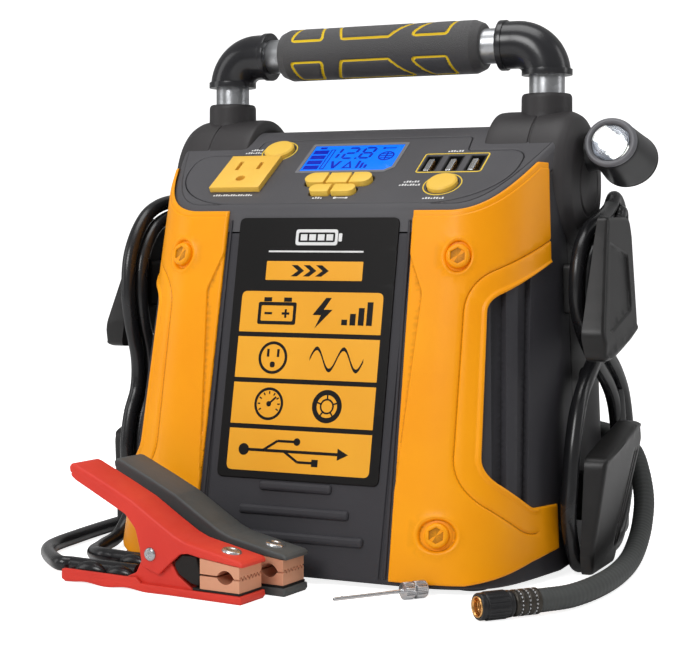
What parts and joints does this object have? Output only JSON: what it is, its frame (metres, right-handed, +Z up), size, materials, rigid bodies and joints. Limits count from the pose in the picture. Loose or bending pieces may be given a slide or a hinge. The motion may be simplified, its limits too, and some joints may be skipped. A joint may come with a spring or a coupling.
{
  "type": "jump starter pack",
  "caption": "Portable jump starter pack with tube handle, tilting lamp, control console, outlet and charging ports, wrapped cables with battery clamps, air hose and needle.",
  "frame": {"origin": "on the floor at the middle of the four feet, in the case's plane of symmetry", "axes": "+X to the right seen from the front, -Y out of the sloping front, +Z up; the pack stands on z=0"},
  "size_m": [0.3197, 0.2543, 0.2907],
  "materials": {
    "case_dark": "fine moulded texture, dark charcoal",
    "console_grey": "fine moulded texture, mid grey",
    "cover_yellow": "satin amber-yellow moulding",
    "label_black": "smooth printed film",
    "foot_rubber": "matt black rubber",
    "tube_steel": "galvanised tube",
    "elbow_black": "black moulded elbow",
    "grip_rubber": "grained grip",
    "outlet_yellow": "smooth yellow moulding",
    "lcd_blue": "backlit display",
    "board_green": "circuit board lacquer",
    "button_yellow": "soft satin button",
    "black_plastic": "black moulding",
    "lens_clear": "clear lens",
    "reflector": "vacuum metallised",
    "cleat_black": "black moulding",
    "clamp_red": "dipped vinyl, red",
    "clamp_black": "dipped vinyl, dark grey",
    "copper": "copper plated, satin",
    "steel": "zinc plated steel",
    "cable_black": "black cable jacket",
    "hose_rubber": "dark grey rubber",
    "crimp_steel": "blackened crimped ferrule",
    "brass": "turned brass",
    "battery_case": "battery case",
    "motor_metal": "cast aluminium and steel can",
    "gear_nylon": "natural nylon"
  },
  "bodies": {
    "root": {"front_shell": "case_dark", "rear_shell": "case_dark", "top_shell": "console_grey", "fascia_plate": "console_grey", "cladding_left": "cover_yellow", "cladding_right": "cover_yellow", "cladding_bolts": "cover_yellow", "info_label": "label_black", "shoulder_cap_left": "console_grey", "shoulder_cap_right": "console_grey", "rubber_feet": "foot_rubber", "handle_posts": "tube_steel", "handle_crossbar": "tube_steel", "handle_elbows": "elbow_black", "handle_grip": "grip_rubber", "ac_outlet": "outlet_yellow", "lcd_window": "lcd_blue", "control_board": "board_green", "usb_ports": "black_plastic", "cleat_upper_left": "cleat_black", "cleat_lower_left": "cleat_black", "cleat_upper_right": "cleat_black", "cleat_lower_right": "cleat_black", "red_lower_arm": "clamp_red", "red_lower_jaw": "copper", "red_pivot_pin": "steel", "red_spring": "steel", "black_lower_arm": "clamp_black", "black_lower_jaw": "copper", "black_pivot_pin": "steel", "black_spring": "steel", "red_cable": "cable_black", "black_cable": "cable_black", "air_hose": "hose_rubber", "hose_ferrule": "crimp_steel", "battery": "battery_case", "inverter_board": "board_green", "compressor_body": "motor_metal", "fan_frame": "black_plastic"},
    "ac_power": {"ac_power_button": "button_yellow"},
    "jump_start": {"jump_start_button": "button_yellow"},
    "minus_key": {"minus_button": "button_yellow"},
    "air_key": {"air_button": "button_yellow"},
    "plus_key": {"plus_button": "button_yellow"},
    "lamp_key": {"lamp_button": "button_yellow"},
    "usb_key": {"usb_button": "button_yellow"},
    "lamp": {"lamp_shell": "black_plastic", "lamp_bezel": "black_plastic", "lamp_lens": "lens_clear", "lamp_reflector": "reflector"},
    "red_jaw": {"red_upper_arm": "clamp_red", "red_upper_jaw": "copper"},
    "black_jaw": {"black_upper_arm": "clamp_black", "black_upper_jaw": "copper"},
    "chuck": {"chuck_sleeve": "black_plastic", "chuck_nut": "brass"},
    "crank": {"crank_gear": "gear_nylon"},
    "pinion": {"drive_pinion": "brass"},
    "fan": {"fan_rotor": "black_plastic"},
    "needle": {"ball_needle": "steel"}
  },
  "joints": [
    {"name": "ac_power_press", "type": "slide", "parent": "root", "child": "ac_power", "axis": [0, 0.5446, -0.8387], "range_m": [0, 0.0014]},
    {"name": "jump_start_press", "type": "slide", "parent": "root", "child": "jump_start", "axis": [0, 0.5446, -0.8387], "range_m": [0, 0.0014]},
    {"name": "minus_press", "type": "slide", "parent": "root", "child": "minus_key", "axis": [0, 0.5446, -0.8387], "range_m": [0, 0.0008]},
    {"name": "air_press", "type": "slide", "parent": "root", "child": "air_key", "axis": [0, 0.5446, -0.8387], "range_m": [0, 0.0008]},
    {"name": "plus_press", "type": "slide", "parent": "root", "child": "plus_key", "axis": [0, 0.5446, -0.8387], "range_m": [0, 0.0008]},
    {"name": "lamp_key_press", "type": "slide", "parent": "root", "child": "lamp_key", "axis": [0, 0.5446, -0.8387], "range_m": [0, 0.0008]},
    {"name": "usb_press", "type": "slide", "parent": "root", "child": "usb_key", "axis": [0, 0.5446, -0.8387], "range_m": [0, 0.0008]},
    {"name": "lamp_tilt", "type": "hinge", "parent": "root", "child": "lamp", "pos_m": [0.135, 0.035, 0.2175], "axis": [-1, 0, 0], "range_deg": [-25, 60]},
    {"name": "red_clamp_open", "type": "hinge", "parent": "root", "child": "red_jaw", "pos_m": [-0.0472, -0.12711, 0.0193], "axis": [-0.0995, -0.995, 0], "range_deg": [0, 28]},
    {"name": "black_clamp_open", "type": "hinge", "parent": "root", "child": "black_jaw", "pos_m": [-0.0367, -0.10231, 0.0193], "axis": [-0.0995, -0.995, 0], "range_deg": [0, 28]},
    {"name": "chuck_spin", "type": "hinge", "parent": "root", "child": "chuck", "pos_m": [0.1159, -0.1255, 0.0068], "axis": [0.6508, 0.7593, 0], "continuous": true},
    {"name": "crank_spin", "type": "hinge", "parent": "root", "child": "crank", "pos_m": [-0.04, 0.0625, 0.0736], "axis": [1, 0, 0], "continuous": true},
    {"name": "pinion_spin", "type": "hinge", "parent": "root", "child": "pinion", "pos_m": [-0.04, 0.0625, 0.052], "axis": [1, 0, 0], "continuous": true},
    {"name": "fan_spin", "type": "hinge", "parent": "root", "child": "fan", "pos_m": [0.062, 0.0745, 0.052], "axis": [0, 1, 0], "continuous": true},
    {"name": "needle_lift", "type": "slide", "parent": "root", "child": "needle", "axis": [0, 0, 1], "range_m": [0, 0.05]}
  ],
  "couplings": [
    {"joint": "pinion_spin", "follows": "crank_spin", "ratio": -2.8571}
  ]
}
